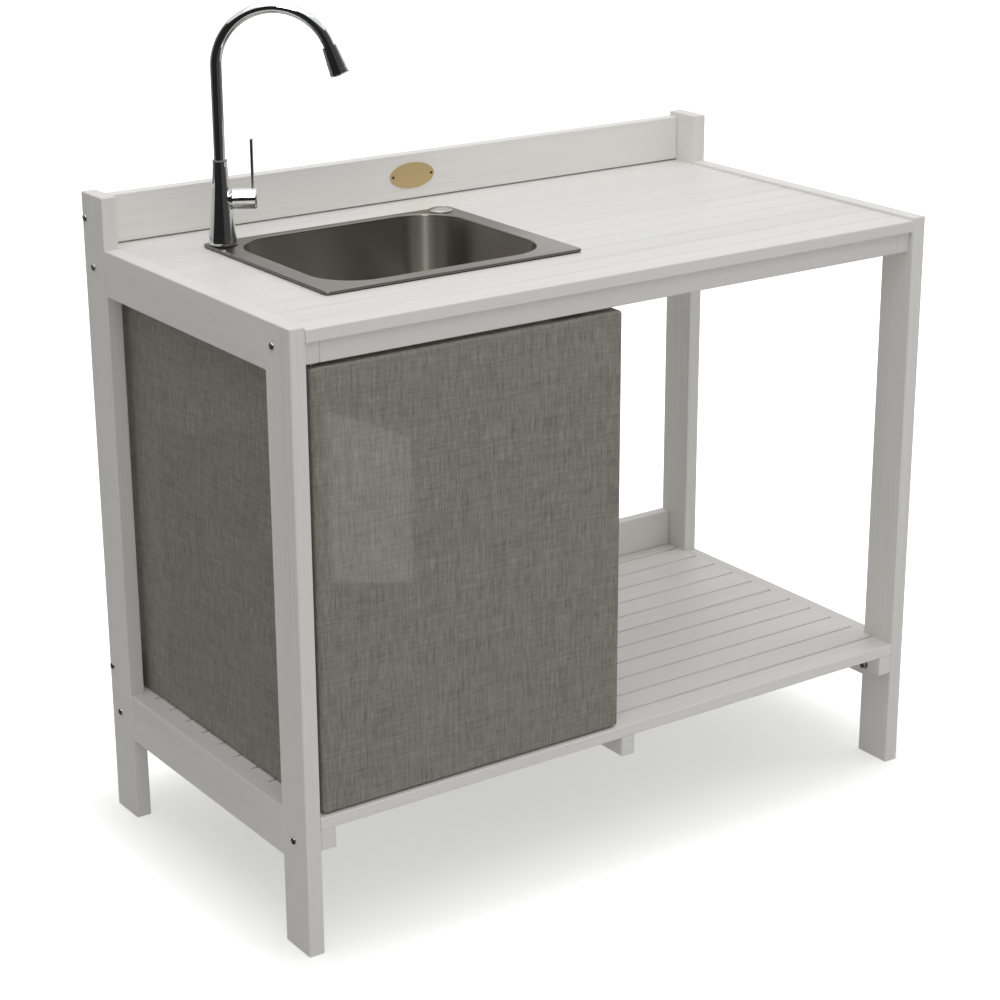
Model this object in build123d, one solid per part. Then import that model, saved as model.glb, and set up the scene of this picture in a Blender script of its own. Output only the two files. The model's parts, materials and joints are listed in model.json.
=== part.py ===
from build123d import *
import math
import os

# Outdoor kitchen: a white painted timber table with an inset steel sink, a swivel tap with a side lever,
# a slatted shelf, and a door and a side panel of board wrapped in woven fabric.
# Millimetres, +Z up, the front faces -Y, the origin is on the floor under the middle of the table.

# Overall sizes
width = 1100.0
depth = 585.0
worktop_height = 890.5
shelf_height = 205.5
edge_round = 2.0

# Side frames
leg_thick = 24.0
leg_depth = 64.0
rail_stand = 4.0
post_stand = 79.5
top_rail_height = 67.5
bottom_rail_height = 73.5

# Slats of the worktop and the shelf
slat_count = 12
slat_thick = 18.0
shelf_slat_gap = 3.5
worktop_slat_gap = 1.5
edge_slat_width = 43.0
slat_end_gap = 0.1
slat_round = 2.0

# Battens and boards between the side frames
batten_width = 24.0
batten_height = 30.5
apron_thick = 20.0
apron_setback = 7.0
splash_thick = 20.0
splash_gap = 2.0
splash_drop = 7.0
stretcher_thick = 20.0
stretcher_height = 62.0

# Fasteners
fit_clearance = 0.1
bolt_radius = 3.0
bolt_head_radius = 5.3
bolt_head_height = 3.3
bolt_socket_width = 4.0
bolt_socket_depth = 2.0
bolt_tail = 2.0
board_bolt_depth = 42.0
nut_flats = 10.0
nut_height = 6.5
nut_flange_radius = 6.8
nut_flange_thick = 1.4
barrel_radius = 6.0
barrel_length = 15.0
barrel_inset = 30.0
worktop_bolt_inset = 44.0
worktop_bolt_drop = 8.5
shelf_bolt_inset = 33.0
shelf_bolt_drop = 21.0
rear_bolt_inset = 28.5
splash_bolt_drop = 30.0
dowel_radius = 5.0
dowel_reach = 24.0
dowel_edge = 18.0
small_dowel_radius = 3.0
small_dowel_reach = 11.0
screw_radius = 2.0
screw_head_radius = 4.0
screw_bite = 12.0

# Door, side panel and the fabric round them
wrap_thick = 1.5
wrap_round = 5.5
wrap_return = 30.0
door_width = 501.5
door_thick = 22.0
door_setback = 5.0
door_side_gap = 8.5
door_head_gap = 6.0
pivot_inset = 9.5
pivot_setback = 13.0
pivot_radius = 3.0
pivot_reach = 32.0
pivot_clearance = 0.06
bush_wall = 1.4
bush_depth = 13.0
bush_flange = 1.5
bush_flange_thick = 1.8
side_panel_thick = 20.0
side_panel_inset = 10.0
side_panel_front_gap = 10.0
side_panel_rear_gap = 32.0
catch_width = 44.0
catch_depth = 14.0
catch_height = 18.0
catch_gap = 0.6
catch_from_edge = 50.0
strike_thick = 1.5

# Oval plate on the backsplash
plate_length = 80.0
plate_height = 40.0
plate_thick = 1.4
plate_drop = 34.0
plate_pin_inset = 5.0
plate_pin_radius = 2.2
plate_pin_head = 1.0
plate_pin_reach = 10.0

# Sink
rim_left = 133.0
rim_front = 130.0
rim_length = 424.0
rim_depth = 344.0
rim_height = 3.5
rim_corner = 6.0
rim_round = 2.0
rim_overhang = 8.0
sink_sheet = 1.2
bowl_side_margin = 30.0
bowl_front_margin = 24.0
bowl_rear_margin = 15.0
bowl_depth = 150.0
bowl_corner = 70.0
bowl_draft = 3.0
bowl_floor_round = 22.0
lip_round = 2.5
gasket_thick = 2.0
gasket_inset = 1.2
gasket_width = 5.5
trimmer_setback = 18.0
clip_width = 14.0
clip_thick = 1.6
clip_foot = 14.0
clip_gap = 1.5

# Drain
drain_hole_radius = 26.0
drain_flange_radius = 35.0
drain_flange_thick = 2.0
drain_sleeve_radius = 25.0
drain_sleeve_wall = 3.0
drain_sleeve_length = 42.0
drain_bar_width = 4.0
drain_bar_height = 3.0
drain_seal_thick = 3.0
drain_nut_height = 11.0
drain_nut_radius = 34.0
drain_cup_height = 16.0
drain_cup_wall = 4.0
drain_tail_radius = 20.0
drain_tail_wall = 2.5
drain_tail_length = 60.0

# Tap and the blank tap hole
tap_inset_x = 22.0
tap_inset_y = 22.0
cap_inset_x = 29.0
tap_seal_thick = 1.5
tap_base_radius = 20.5
tap_base_height = 3.0
tap_waist_radius = 15.4
tap_waist_height = 48.0
tap_neck_radius = 10.4
tap_neck_height = 112.0
tap_body_height = 119.0
tap_waterway_radius = 5.0
spout_radius = 8.0
spout_wall = 1.5
spout_tail_radius = 7.0
spout_tail_length = 34.0
spout_rise = 252.0
spout_bend_radius = 82.0
spout_bend = 160.0
spout_tip = 8.0
spout_heading = -34.0
spout_bush_thick = 1.5
running_clearance = 0.05
nozzle_top_radius = 10.4
nozzle_end_radius = 13.8
nozzle_length = 42.0
nozzle_edge = 2.0
nozzle_ring_height = 8.0
nozzle_groove_width = 1.2
nozzle_groove_depth = 0.7
aerator_radius = 11.4
aerator_depth = 7.0
hub_heading = -30.0
hub_height = 64.0
hub_radius = 15.0
hub_neck_radius = 9.0
hub_cone_start = 9.0
hub_cone_end = 16.0
hub_seam = 20.6
seam_gap = 0.4
lever_cap_length = 30.0
lever_cap_round = 3.0
lever_cap_cavity = 6.0
valve_radius = 9.0
valve_start = 7.0
valve_proud = 4.0
stem_radius = 4.0
stem_reach = 12.0
lever_pin_radius = 2.3
lever_pin_inset = 5.4
lever_pin_seat = 6.0
lever_pin_length = 72.0
shank_radius = 8.0
shank_seat = 12.0
shank_length = 26.0
shank_bore = 4.0
inlet_radius = 7.5
inlet_length = 30.0
shank_hole_gap = 0.5
fixing_washer_thick = 2.0
fixing_nut_flats = 22.0
fixing_nut_height = 8.0
cap_radius = 19.0
cap_edge = 1.5
cap_dome = 6.0
cap_stem_length = 22.0

# Planes and edges that follow from the sizes
half_width = width / 2
front = -depth / 2
rear = depth / 2
inner_left = -half_width + leg_thick
inner_right = half_width - leg_thick
rail_top = worktop_height + rail_stand
post_top = worktop_height + post_stand
worktop_under = worktop_height - slat_thick
batten_under = worktop_under - batten_height
apron_front = front + apron_setback
apron_back = apron_front + apron_thick
shelf_under = shelf_height - slat_thick
shelf_batten_under = shelf_under - batten_height
splash_front = rear - splash_thick
splash_bottom = worktop_height + splash_gap
splash_top = post_top - splash_drop
stretcher_top = shelf_height + stretcher_height
rim_under = worktop_height + gasket_thick
rim_top = rim_under + rim_height

# Helpers


def block(x, y, z):
    """A plain box between a low and a high value on each axis."""
    middle = [(low + high) / 2 for low, high in (x, y, z)]
    size = [high - low for low, high in (x, y, z)]
    return Pos(*middle) * Box(*size)


def board(x, y, z, radius=edge_round):
    """A planed board with all its edges eased."""
    return fillet(block(x, y, z).edges(), radius)


def slat_board(x, y, z):
    """A slat with its long edges eased and its ends cut square."""
    return fillet(block(x, y, z).edges().filter_by(Axis.X), slat_round)


def flush_board(x, y, z, joint_x):
    """A planed board whose top edge at joint_x stays sharp, where slats of the same height meet it."""
    blank = block(x, y, z)
    joint = Vector(joint_x, (y[0] + y[1]) / 2, z[1])
    return fillet([edge for edge in blank.edges() if (edge.center() - joint).length > 1e-3], edge_round)


def rod(start, direction, radius, length):
    """A round bar that grows from start along direction."""
    bar = Cylinder(radius, length, align=(Align.CENTER, Align.CENTER, Align.MIN))
    return Plane(origin=start, z_dir=direction) * bar


def hex_bar(start, direction, flats, length):
    """A hexagonal bar, flats across, that grows from start along direction."""
    face = RegularPolygon(flats / 2, 6, major_radius=False)
    return Plane(origin=start, z_dir=direction) * extrude(face, length)


def turned(edges, start=(0, 0, 0), direction=(0, 0, 1)):
    """A turned piece: a closed outline in the XZ plane, revolved about Z and placed on an axis."""
    return Plane(origin=start, z_dir=direction) * revolve(make_face(edges), Axis.Z)


def outline(*points):
    """A closed outline of straight edges through (radius, height) points."""
    return Polyline([(radius, 0, height) for radius, height in points], close=True).edges()


def ring(inner, outer, low, high, centre=(0, 0)):
    """An upright ring between two radii and two heights."""
    edges = outline((inner, low), (outer, low), (outer, high), (inner, high))
    return turned(edges, (centre[0], centre[1], 0))


def group(pieces):
    """Several separate solids kept together under one name."""
    return Compound([solid for piece in pieces for solid in piece.solids()])


def limits(shape):
    """The low and high corner of the box round a shape."""
    box = shape.bounding_box()
    return tuple(box.min), tuple(box.max)


parts = {}
bores = []


def add_bore(shape):
    """Keep a bore with its box, for every timber piece that it reaches."""
    bores.append((shape, *limits(shape)))


def drilled(piece):
    """The piece with every bore that reaches it cut out."""
    low, high = limits(piece)
    near = [
        bore
        for bore, bore_low, bore_high in bores
        if all(a < d and c < b for a, b, c, d in zip(low, high, bore_low, bore_high))
    ]
    return piece - near if near else piece


# Slats: the worktop and the shelf have the same number of slats, the worktop with the finer gaps


def slat_spans(slat_gap):
    """Front and rear edge of every slat, the two edge slats being the narrower ones."""
    gaps = (slat_count - 1) * slat_gap
    inner_width = (depth - 2 * edge_slat_width - gaps) / (slat_count - 2)
    widths = [edge_slat_width] + [inner_width] * (slat_count - 2) + [edge_slat_width]
    spans = []
    edge = front
    for slat_width in widths:
        spans.append((edge, edge + slat_width))
        edge += slat_width + slat_gap
    return spans


worktop_spans = slat_spans(worktop_slat_gap)
shelf_spans = slat_spans(shelf_slat_gap)
slat_x = (inner_left + slat_end_gap, inner_right - slat_end_gap)
rim_x = (-half_width + rim_left, -half_width + rim_left + rim_length)
rim_y = (front + rim_front, front + rim_front + rim_depth)
cutout_x = (rim_x[0] + rim_overhang, rim_x[1] - rim_overhang)
cutout_y = (rim_y[0] + rim_overhang, rim_y[1] - rim_overhang)

shelf_slats = [slat_board(slat_x, span, (shelf_under, shelf_height)) for span in shelf_spans]
worktop_slats = {"front": [], "left": [], "right": [], "notched": [], "rear": []}
cutout = block(cutout_x, cutout_y, (worktop_under - 1, worktop_height + 1))
for span in worktop_spans:
    slat = slat_board(slat_x, span, (worktop_under, worktop_height))
    if span[1] <= cutout_y[0]:
        worktop_slats["front"].append(slat)
    elif span[0] >= cutout_y[1]:
        worktop_slats["rear"].append(slat)
    else:
        pieces = (slat - cutout).solids().sort_by(Axis.X)
        if len(pieces) == 2:
            worktop_slats["left"].append(pieces[0])
            worktop_slats["right"].append(pieces[1])
        else:
            worktop_slats["notched"].append(pieces[0])

# Battens: the ones beside the sink tie the cut slats together

batten_x = {
    "worktop_batten_left": (inner_left, inner_left + batten_width),
    "sink_trimmer_left": (cutout_x[0] - trimmer_setback - batten_width, cutout_x[0] - trimmer_setback),
    "sink_trimmer_right": (cutout_x[1] + trimmer_setback, cutout_x[1] + trimmer_setback + batten_width),
    "worktop_batten_right": (inner_right - batten_width, inner_right),
}
shelf_batten_x = {
    "shelf_batten_left": (inner_left, inner_left + batten_width),
    "shelf_batten_middle": (-batten_width / 2, batten_width / 2),
    "shelf_batten_right": (inner_right - batten_width, inner_right),
}
battens = {}
for name, span_x in batten_x.items():
    start = apron_front if name.startswith("worktop") else apron_back
    battens[name] = board(span_x, (start, rear), (batten_under, worktop_under))
for name, span_x in shelf_batten_x.items():
    battens[name] = board(span_x, (front, rear), (shelf_batten_under, shelf_under))

# Side frames, front apron, backsplash and rear stretcher

frame = {}
leg_rows = {"front": (front, front + leg_depth), "rear": (rear - leg_depth, rear)}
for side, sign in (("left", -1), ("right", 1)):
    leg_x = tuple(sorted((sign * half_width, sign * (half_width - leg_thick))))
    between = (front + leg_depth, rear - leg_depth)
    frame[f"front_leg_{side}"] = board(leg_x, leg_rows["front"], (0, rail_top))
    frame[f"rear_post_{side}"] = board(leg_x, leg_rows["rear"], (0, post_top))
    frame[f"top_rail_{side}"] = board(leg_x, between, (rail_top - top_rail_height, rail_top))
    bottom_rail_z = (shelf_height - bottom_rail_height, shelf_height)
    frame[f"bottom_rail_{side}"] = flush_board(leg_x, between, bottom_rail_z, sign * inner_right)
apron_x = (inner_left + batten_width, inner_right - batten_width)
frame["front_apron"] = board(apron_x, (apron_front, apron_back), (batten_under, worktop_under))
frame["backsplash"] = board((inner_left, inner_right), (splash_front, rear), (splash_bottom, splash_top))
frame["rear_stretcher"] = board(
    (inner_left, inner_right), (rear - stretcher_thick, rear), (shelf_height, stretcher_top)
)

# Bolts with nuts through legs and battens, and bolts with barrel nuts into the two rear boards


def bolt(start, inward, length):
    """A dome head bolt whose head seats at start, with a hexagonal socket in the head."""
    outward = tuple(-value for value in inward)
    head = rod(start, outward, bolt_head_radius, bolt_head_height)
    top_edge = head.edges().sort_by_distance(tuple(s + 99 * o for s, o in zip(start, outward)))[0]
    head = fillet(top_edge, bolt_head_height * 0.8)
    face = tuple(s + bolt_head_height * o for s, o in zip(start, outward))
    socket = hex_bar(face, inward, bolt_socket_width, bolt_socket_depth)
    return head - socket + rod(start, inward, bolt_radius, length)


bolts, nuts, barrels = [], [], []
batten_bolts = (
    (front + worktop_bolt_inset, worktop_under - worktop_bolt_drop),
    (rear - rear_bolt_inset, worktop_under - worktop_bolt_drop),
    (front + shelf_bolt_inset, shelf_under - shelf_bolt_drop),
    (rear - rear_bolt_inset, shelf_under - shelf_bolt_drop),
)
board_bolts = (
    (rear - splash_thick / 2, splash_top - splash_bolt_drop),
    (rear - stretcher_thick / 2, (shelf_height + stretcher_top) / 2),
)
for sign in (-1, 1):
    inward = (-sign, 0, 0)
    through = leg_thick + batten_width
    for y, z in batten_bolts:
        start = (sign * half_width, y, z)
        seat = (sign * (half_width - through), y, z)
        length = through + nut_height + bolt_tail
        bolts.append(bolt(start, inward, length))
        add_bore(rod(start, inward, bolt_radius + fit_clearance, length))
        bore = rod(seat, inward, bolt_radius + fit_clearance, nut_height)
        flange = rod(seat, inward, nut_flange_radius, nut_flange_thick)
        nuts.append(hex_bar(seat, inward, nut_flats, nut_height) + flange - bore)
    for y, z in board_bolts:
        start = (sign * half_width, y, z)
        length = leg_thick + board_bolt_depth
        bolts.append(bolt(start, inward, length))
        bore = rod(start, inward, bolt_radius + fit_clearance, length + fit_clearance)
        add_bore(bore)
        barrel_start = (sign * (half_width - leg_thick - barrel_inset), rear, z)
        barrels.append(rod(barrel_start, (0, -1, 0), barrel_radius, barrel_length) - bore)
        pocket = (barrel_radius + fit_clearance, barrel_length + fit_clearance)
        add_bore(rod(barrel_start, (0, -1, 0), *pocket))

# Dowels: rails to legs, apron to side battens, and the side panel to shelf and batten

dowels = []


def add_dowel(middle, direction, radius, reach):
    """A dowel that reaches the same way into both pieces, and the bore it sits in."""
    for extra, keep in ((0, dowels.append), (fit_clearance, add_bore)):
        start = tuple(m - (reach + extra) * d for m, d in zip(middle, direction))
        keep(rod(start, direction, radius + extra, 2 * (reach + extra)))


for sign in (-1, 1):
    x = sign * (half_width - leg_thick / 2)
    for y in (front + leg_depth, rear - leg_depth):
        for top, height in ((rail_top, top_rail_height), (shelf_height, bottom_rail_height)):
            for z in (top - dowel_edge, top - height + dowel_edge):
                add_dowel((x, y, z), (0, 1, 0), dowel_radius, dowel_reach)
    joint = (sign * apron_x[1], (apron_front + apron_back) / 2, worktop_under - worktop_bolt_drop)
    add_dowel(joint, (1, 0, 0), small_dowel_radius, small_dowel_reach)

# Screws up through battens and apron into the slats

screws = []


def screw(foot, grip, extra=0.0):
    """A countersunk screw driven upwards from foot, through grip and screw_bite into the slat."""
    radius, head = screw_radius + extra, screw_head_radius + extra
    x, y, z = foot
    top = grip + screw_bite + extra
    edges = outline((0, 0), (head, 0), (radius, head - radius), (radius, top), (0, top))
    return turned(edges, (x, y, z))


def add_screw(foot, grip):
    """A screw and the bore it sits in."""
    screws.append(screw(foot, grip))
    add_bore(screw(foot, grip, fit_clearance))


for span in shelf_spans:
    for span_x in shelf_batten_x.values():
        add_screw((sum(span_x) / 2, sum(span) / 2, shelf_batten_under), batten_height)
for span in worktop_spans[1:]:
    for span_x in batten_x.values():
        add_screw((sum(span_x) / 2, sum(span) / 2, batten_under), batten_height)
for share in (-0.75, -0.25, 0.25, 0.75):
    add_screw((share * inner_right, (apron_front + apron_back) / 2, batten_under), batten_height)

# Board wrapped in fabric: the show face is at y = 0 and the board stands on z = 0


def panel_blank(length, thick, height, radius):
    """A panel whose show edges and corners are rounded, and whose back edges are square."""
    blank = block((-length / 2, length / 2), (0, thick), (0, height))
    back = blank.faces().sort_by(Axis.Y)[-1]
    back_edges = [edge.center() for edge in back.edges()]
    shown = [edge for edge in blank.edges() if all((edge.center() - c).length > 1e-3 for c in back_edges)]
    return fillet(shown, radius)


def wrapped_panel(length, thick, height):
    """Core board and the fabric wrapped round its front and edges and turned in at the back."""
    outside = panel_blank(length, thick, height, wrap_round)
    size = [value - 2 * wrap_thick for value in (length, thick, height)]
    core = Pos(0, wrap_thick, wrap_thick) * panel_blank(*size, wrap_round - wrap_thick)
    half = length / 2 - wrap_return
    window = block((-half, half), (thick - wrap_thick, thick + 1), (wrap_return, height - wrap_return))
    return core, outside - core - window


door_x = (inner_left + door_side_gap, inner_left + door_side_gap + door_width)
door_z = (shelf_height + bush_flange_thick, batten_under - door_head_gap)
door_front = front + door_setback
door_back = door_front + door_thick
door_place = Pos(sum(door_x) / 2, door_front, door_z[0])
door_core, door_fabric = [
    door_place * piece for piece in wrapped_panel(door_width, door_thick, door_z[1] - door_z[0])
]

panel_y = (door_back + side_panel_front_gap, rear - side_panel_rear_gap)
panel_x = inner_left + side_panel_inset
panel_place = Pos(panel_x, sum(panel_y) / 2, shelf_height) * Rot(0, 0, -90)
panel_height = batten_under - shelf_height
side_core, side_fabric = [
    panel_place * piece for piece in wrapped_panel(panel_y[1] - panel_y[0], side_panel_thick, panel_height)
]
panel_dowel_x = inner_left + batten_width - small_dowel_radius - wrap_thick
for row in (2, slat_count - 3):
    y = shelf_spans[row][1] - 3 * small_dowel_radius
    for z in (shelf_height, batten_under):
        add_dowel((panel_dowel_x, y, z), (0, 0, 1), small_dowel_radius, small_dowel_reach)

# Door pivots, bushes, catch and strike plate

pivot_x = door_x[0] + pivot_inset
pivot_y = door_front + pivot_setback
pins, bushes = [], []
bush_bore = pivot_radius + pivot_clearance
bush_radius = bush_bore + bush_wall
door_bores = []
for edge_z, seat_z, up in ((door_z[0], shelf_height, -1), (door_z[1], batten_under, 1)):
    reach = abs(seat_z - edge_z) + bush_depth - 1
    pin_start = (pivot_x, pivot_y, edge_z - up * pivot_reach)
    pins.append(rod(pin_start, (0, 0, up), pivot_radius, pivot_reach + reach))
    door_bores.append(rod(pin_start, (0, 0, up), pivot_radius, pivot_reach + reach))
    sleeve = rod((pivot_x, pivot_y, seat_z), (0, 0, up), bush_radius, bush_depth)
    flange = rod((pivot_x, pivot_y, seat_z), (0, 0, -up), bush_radius + bush_flange, bush_flange_thick)
    mouth = (pivot_x, pivot_y, seat_z - up * bush_flange_thick)
    hollow = rod(mouth, (0, 0, up), bush_bore, bush_depth + bush_flange_thick)
    bushes.append(sleeve + flange - hollow)
    add_bore(sleeve)

catch_x = (door_x[1] - catch_from_edge - catch_width, door_x[1] - catch_from_edge)
strike_z = (door_z[1] - wrap_return + 4, door_z[1] - wrap_return + 4 + catch_height)
strike_back = door_back + strike_thick
catch_back = apron_back + catch_depth
catch_body = block(catch_x, (apron_back, catch_back), (batten_under, worktop_under - catch_height / 2))
catch_nose = block(catch_x, (strike_back + catch_gap, catch_back), (strike_z[0], batten_under))

# Sink: pressed sheet with a folded rim, a rounded bowl and two tap holes

bowl_x = (rim_x[0] + bowl_side_margin, rim_x[1] - bowl_side_margin)
bowl_y = (rim_y[0] + bowl_front_margin, rim_y[1] - bowl_rear_margin)
bowl_middle = (sum(bowl_x) / 2, sum(bowl_y) / 2)
rim_middle = (sum(rim_x) / 2, sum(rim_y) / 2)
bowl_floor = rim_top - bowl_depth
tap_at = (rim_x[0] + tap_inset_x, rim_y[1] - tap_inset_y)
cap_at = (rim_x[1] - cap_inset_x, rim_y[1] - tap_inset_y)
shank_hole = shank_radius + shank_hole_gap


def bowl_form(extra):
    """The drawn bowl, grown by extra on its sides and floor."""
    length = bowl_x[1] - bowl_x[0] + 2 * extra
    across = bowl_y[1] - bowl_y[0] + 2 * extra
    mouth = Pos(*bowl_middle, rim_top) * RectangleRounded(length, across, bowl_corner + extra)
    form = extrude(mouth, bowl_depth + extra, dir=(0, 0, -1), taper=bowl_draft)
    floor = form.faces().sort_by(Axis.Z)[0]
    return fillet(floor.edges(), bowl_floor_round + extra)


def rim_plate(inset, low, high):
    """A slab with the outline of the rim, drawn in by inset."""
    face = RectangleRounded(rim_length - 2 * inset, rim_depth - 2 * inset, rim_corner - inset)
    return Pos(*rim_middle, low) * extrude(face, high - low)


rim = rim_plate(0, rim_under, rim_top)
rim = fillet(rim.faces().sort_by(Axis.Z)[-1].edges(), rim_round)
rim = rim - rim_plate(sink_sheet, rim_under, rim_top - sink_sheet)
sink = rim + bowl_form(sink_sheet) - bowl_form(0)
lip = [edge for edge in sink.edges().filter_by_position(Axis.Z, rim_top - 1e-3, rim_top + 1e-3)
       if bowl_x[0] - 1 < edge.center().X < bowl_x[1] + 1 and bowl_y[0] - 1 < edge.center().Y < bowl_y[1] + 1]
sink = fillet(lip, lip_round)
for centre in (tap_at, cap_at):
    sink = sink - rod((*centre, rim_under), (0, 0, 1), shank_hole, rim_height)
sink = sink - rod((*bowl_middle, bowl_floor - 2 * sink_sheet), (0, 0, 1), drain_hole_radius, 4 * sink_sheet)
gasket_reach = gasket_inset + gasket_width
gasket_mouth = block(
    (rim_x[0] + gasket_reach, rim_x[1] - gasket_reach),
    (rim_y[0] + gasket_reach, rim_y[1] - gasket_reach),
    (worktop_height, rim_under),
)
gasket = rim_plate(gasket_inset, worktop_height, rim_under) - gasket_mouth

# Clips under the rim grip the underside of the cut slats

clips = []
clip_rows = [span for span in worktop_spans if span[0] > cutout_y[0] and span[1] < cutout_y[1]]
for sign, edge in ((1, cutout_x[0]), (-1, cutout_x[1])):
    near = edge + sign * clip_gap
    strip_x = sorted((near, near + sign * clip_thick))
    foot_x = sorted((near + sign * clip_thick, edge - sign * clip_foot))
    for span in (clip_rows[1], clip_rows[-2]):
        clip_y = (sum(span) / 2 - clip_width / 2, sum(span) / 2 + clip_width / 2)
        strip = block(strip_x, clip_y, (worktop_under - clip_thick, rim_top - sink_sheet))
        clips.append(strip + block(foot_x, clip_y, (worktop_under - clip_thick, worktop_under)))

# Drain: strainer flange, seal, nut and tail below the bowl

floor_under = bowl_floor - sink_sheet
flange_top = bowl_floor + drain_flange_thick
sleeve_end = floor_under - drain_sleeve_length
sleeve_bore = drain_sleeve_radius - drain_sleeve_wall
strainer = turned(
    outline(
        (sleeve_bore, flange_top),
        (drain_flange_radius, flange_top),
        (drain_flange_radius, bowl_floor),
        (drain_sleeve_radius, bowl_floor),
        (drain_sleeve_radius, sleeve_end),
        (sleeve_bore, sleeve_end),
    ),
    (*bowl_middle, 0),
)
for angle in (0, 60, 120):
    bar = Box(2 * sleeve_bore + drain_sleeve_wall, drain_bar_width, drain_bar_height)
    strainer = strainer + Pos(*bowl_middle, bowl_floor - drain_bar_height / 2) * Rot(0, 0, angle) * bar
sleeve_fit = drain_sleeve_radius + fit_clearance
seal_under = floor_under - drain_seal_thick
drain_seal = ring(sleeve_fit, drain_nut_radius, seal_under, floor_under, bowl_middle)
drain_nut_under = seal_under - drain_nut_height
drain_nut = ring(sleeve_fit, drain_nut_radius, drain_nut_under, seal_under, bowl_middle)
cup_radius = sleeve_fit + drain_cup_wall
cup_floor = sleeve_end - drain_tail_wall
tail_bore = drain_tail_radius - drain_tail_wall
tail_end = cup_floor - drain_tail_length
drain_tail = turned(
    outline(
        (sleeve_fit, sleeve_end + drain_cup_height),
        (cup_radius, sleeve_end + drain_cup_height),
        (cup_radius, cup_floor),
        (drain_tail_radius, cup_floor),
        (drain_tail_radius, tail_end),
        (tail_bore, tail_end),
        (tail_bore, sleeve_end),
        (sleeve_fit, sleeve_end),
    ),
    (*bowl_middle, 0),
)

# Tap: everything is measured up from the underside of its body

tap_zero = rim_top + tap_seal_thick
tap_axis = (*tap_at, tap_zero)
hub_axis = (math.cos(math.radians(hub_heading)), math.sin(math.radians(hub_heading)), 0)


def on_hub(distance):
    """A point on the lever's axis, distance out from the axis of the tap."""
    return (tap_at[0] + distance * hub_axis[0], tap_at[1] + distance * hub_axis[1], tap_zero + hub_height)


spout_bore = spout_tail_radius + running_clearance
spout_seat = tap_body_height - spout_tail_length - 1
body_side = ThreePointArc(
    (tap_base_radius, 0, tap_base_height),
    (tap_waist_radius, 0, tap_waist_height),
    (tap_neck_radius, 0, tap_neck_height),
)
body_line = Polyline(
    (tap_neck_radius, 0, tap_neck_height),
    (tap_neck_radius, 0, tap_body_height),
    (0, 0, tap_body_height),
    (0, 0, 0),
    (tap_base_radius, 0, 0),
    (tap_base_radius, 0, tap_base_height),
)
tap_body = turned([body_side, *body_line.edges()], tap_axis)
boss = turned(
    outline(
        (0, 0),
        (hub_neck_radius, hub_cone_start),
        (hub_radius, hub_cone_end),
        (hub_radius, hub_seam),
        (0, hub_seam),
    ),
    on_hub(0),
    hub_axis,
)
tap_body = tap_body + boss
tap_body = tap_body - rod((*tap_at, tap_zero), (0, 0, 1), tap_waterway_radius, tap_body_height)
tap_body = tap_body - rod((*tap_at, tap_zero + spout_seat), (0, 0, 1), spout_bore, tap_body_height)
tap_body = tap_body - rod(tap_axis, (0, 0, 1), shank_radius + fit_clearance, shank_seat)
tap_body = tap_body - rod(on_hub(valve_start), hub_axis, valve_radius + fit_clearance, hub_seam)
tap_seal = ring(shank_hole, tap_base_radius, rim_top, tap_zero, tap_at)
shank_top = tap_zero + shank_seat
shank_end = rim_under - shank_length
inlet_end = shank_end - inlet_length
tap_shank = turned(
    outline(
        (shank_bore, shank_top),
        (shank_radius, shank_top),
        (shank_radius, shank_end),
        (inlet_radius, shank_end),
        (inlet_radius, inlet_end),
        (shank_bore, inlet_end),
    ),
    (*tap_at, 0),
)
plate_under = rim_top - sink_sheet
washer_under = plate_under - fixing_washer_thick
washer_bore = shank_radius + fit_clearance


def fixing_nut(centre):
    """A hexagonal nut under the rim, on the shank of the tap or of the blank cap."""
    start = (*centre, washer_under)
    bar = hex_bar(start, (0, 0, -1), fixing_nut_flats, fixing_nut_height)
    return bar - rod(start, (0, 0, -1), washer_bore, fixing_nut_height)


def fixing_washer(centre):
    """The flat washer above a fixing nut."""
    return ring(washer_bore, fixing_nut_flats / 2, washer_under, plate_under, centre)


dome = ThreePointArc(
    (0, 0, cap_dome),
    (cap_radius * 0.6, 0, cap_edge + (cap_dome - cap_edge) * 0.68),
    (cap_radius, 0, cap_edge),
)
cap_line = Polyline(
    (cap_radius, 0, cap_edge),
    (cap_radius, 0, 0),
    (shank_radius, 0, 0),
    (shank_radius, 0, -cap_stem_length),
    (0, 0, -cap_stem_length),
    (0, 0, cap_dome),
)
hole_cap = turned([dome, *cap_line.edges()], (*cap_at, rim_top))

# Spout: a bent tube that turns in the neck of the tap body, with nozzle and aerator

spout_place = Pos(*tap_axis) * Rot(0, 0, spout_heading)
spout_foot = tap_body_height + spout_bush_thick
bend_end = math.radians(spout_bend)
tip_direction = (math.sin(bend_end), 0, math.cos(bend_end))


def bend_point(angle):
    """A point on the spout's bend, angle radians after the top of the riser."""
    reach = spout_bend_radius * (1 - math.cos(angle))
    return (reach, 0, spout_rise + spout_bend_radius * math.sin(angle))


def along_tip(distance):
    """A point on the line of the nozzle, distance past the end of the bend."""
    return tuple(p + distance * d for p, d in zip(bend_point(bend_end), tip_direction))


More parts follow.
